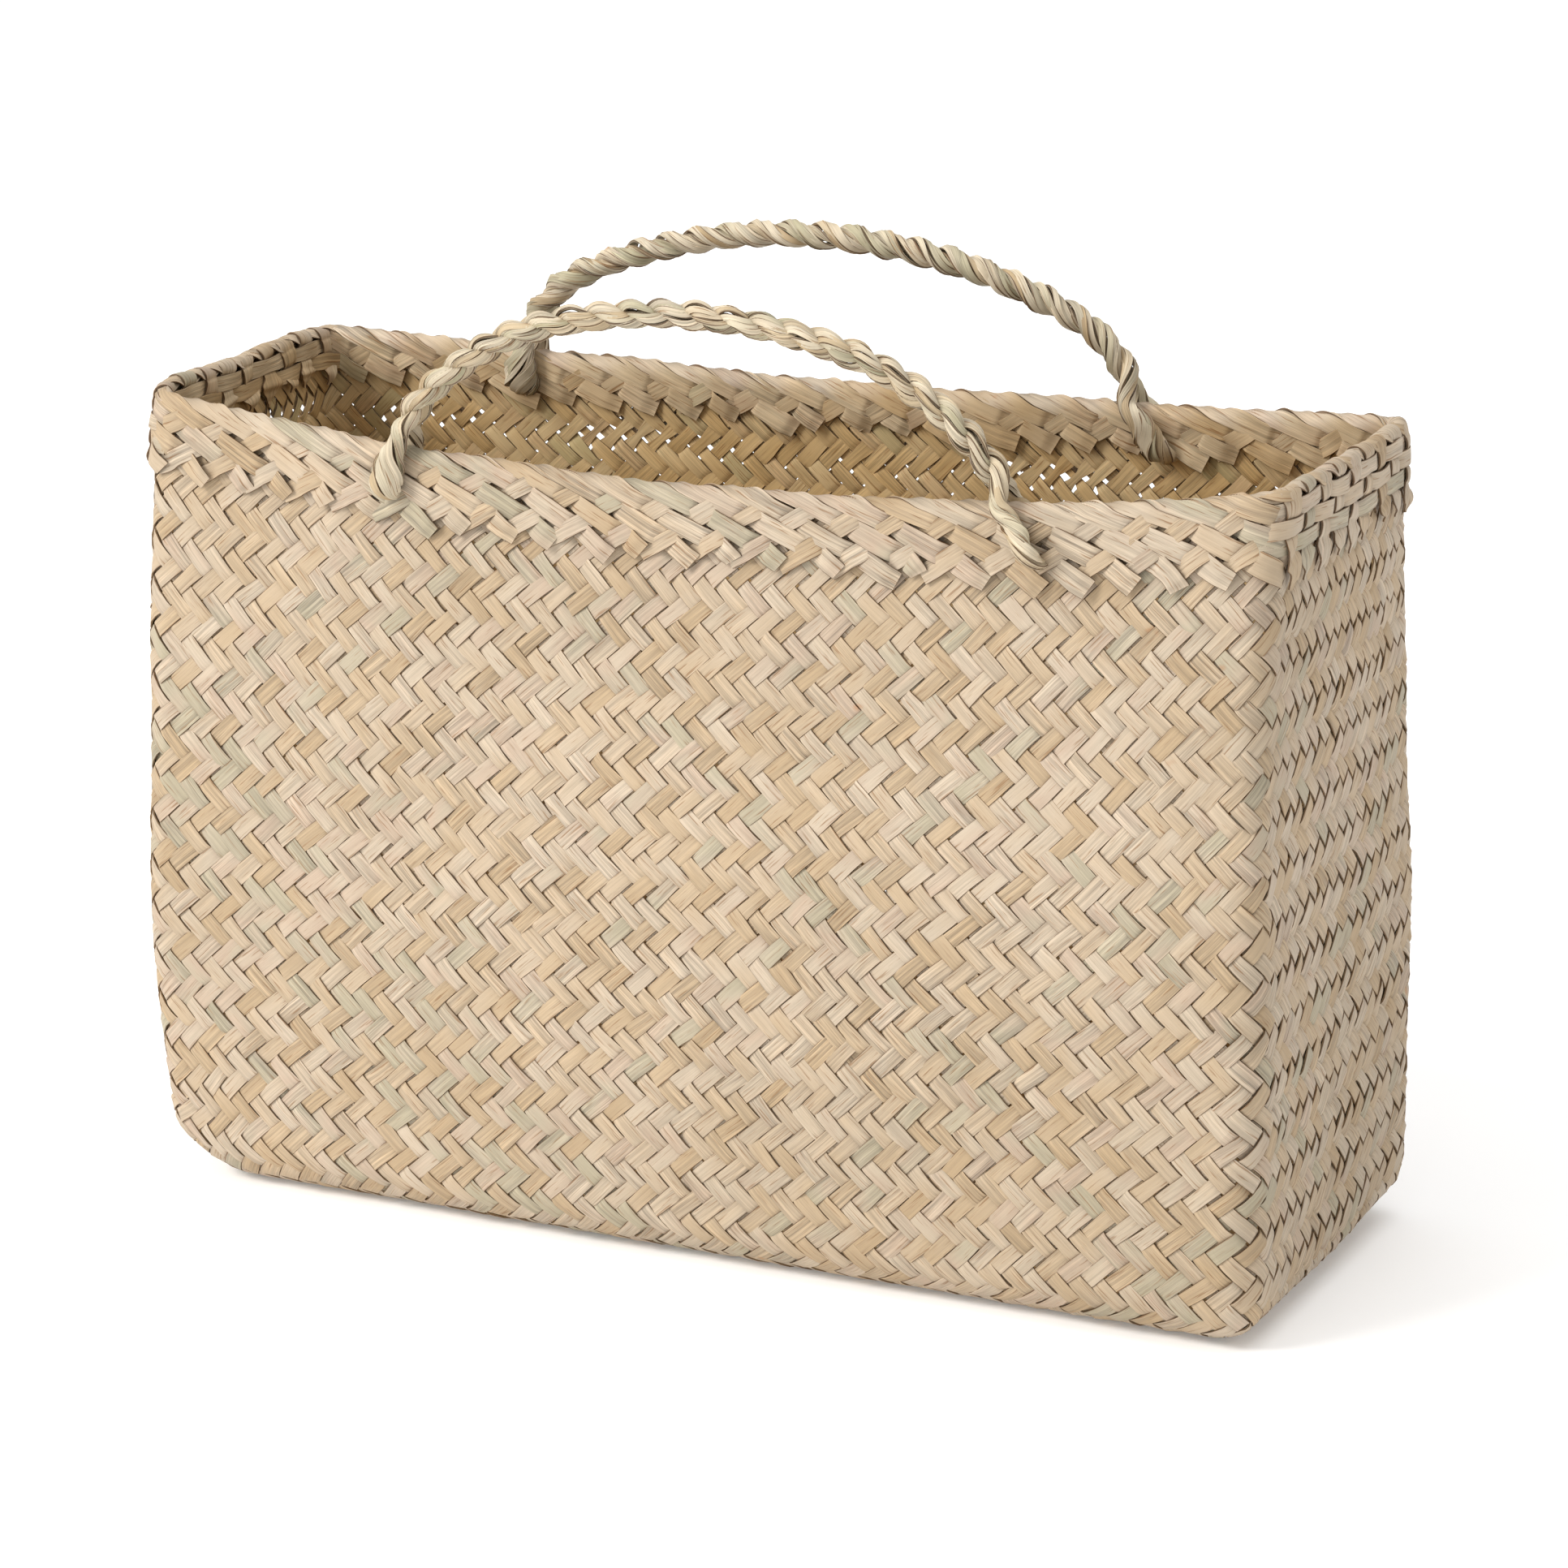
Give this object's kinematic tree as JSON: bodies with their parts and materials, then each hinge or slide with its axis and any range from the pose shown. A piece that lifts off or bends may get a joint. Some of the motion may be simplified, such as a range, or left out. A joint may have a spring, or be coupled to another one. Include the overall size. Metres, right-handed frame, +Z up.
{
  "type": "plaited basket with rope handles",
  "caption": "Tall rectangular plaited basket with a thick plaited rim and two arched rope handles that tip in and out, for carrying bread, shopping or laundry.",
  "frame": {"origin": "middle of the base's underside", "axes": "+X along the long side, +Y towards the rear wall, +Z up"},
  "size_m": [0.3844, 0.1472, 0.3057],
  "materials": {
    "plait_outside": "dry plaited leaf strips, matte with a faint sheen along the fibre",
    "rim_border": "wider dry plaited leaf strips, matte with a faint sheen",
    "handle_rope": "twisted dry leaf strips, matte with a faint sheen"
  },
  "bodies": {
    "basket": {"base_mat": "plait_outside", "front_wall": "plait_outside", "back_wall": "plait_outside", "left_wall": "plait_outside", "right_wall": "plait_outside", "front_left_corner": "plait_outside", "front_right_corner": "plait_outside", "back_left_corner": "plait_outside", "back_right_corner": "plait_outside", "front_rim": "rim_border", "back_rim": "rim_border", "left_rim": "rim_border", "right_rim": "rim_border", "front_left_rim_corner": "rim_border", "front_right_rim_corner": "rim_border", "back_left_rim_corner": "rim_border", "back_right_rim_corner": "rim_border", "front_left_outer_leg": "handle_rope", "front_left_inner_leg": "handle_rope", "front_right_outer_leg": "handle_rope", "front_right_inner_leg": "handle_rope", "rear_left_outer_leg": "handle_rope", "rear_left_inner_leg": "handle_rope", "rear_right_outer_leg": "handle_rope", "rear_right_inner_leg": "handle_rope", "front_left_tie": "handle_rope", "front_right_tie": "handle_rope", "rear_left_tie": "handle_rope", "rear_right_tie": "handle_rope"},
    "front_handle": {"front_handle_rope": "handle_rope"},
    "rear_handle": {"rear_handle_rope": "handle_rope"}
  },
  "joints": [
    {"name": "front_handle_swing", "type": "hinge", "parent": "basket", "child": "front_handle", "pos_m": [0, -0.0584, 0.25598], "axis": [1, 0, 0], "range_deg": [-80, 80]},
    {"name": "rear_handle_swing", "type": "hinge", "parent": "basket", "child": "rear_handle", "pos_m": [0, 0.05728, 0.26256], "axis": [1, 0, 0], "range_deg": [-80, 80]}
  ]
}
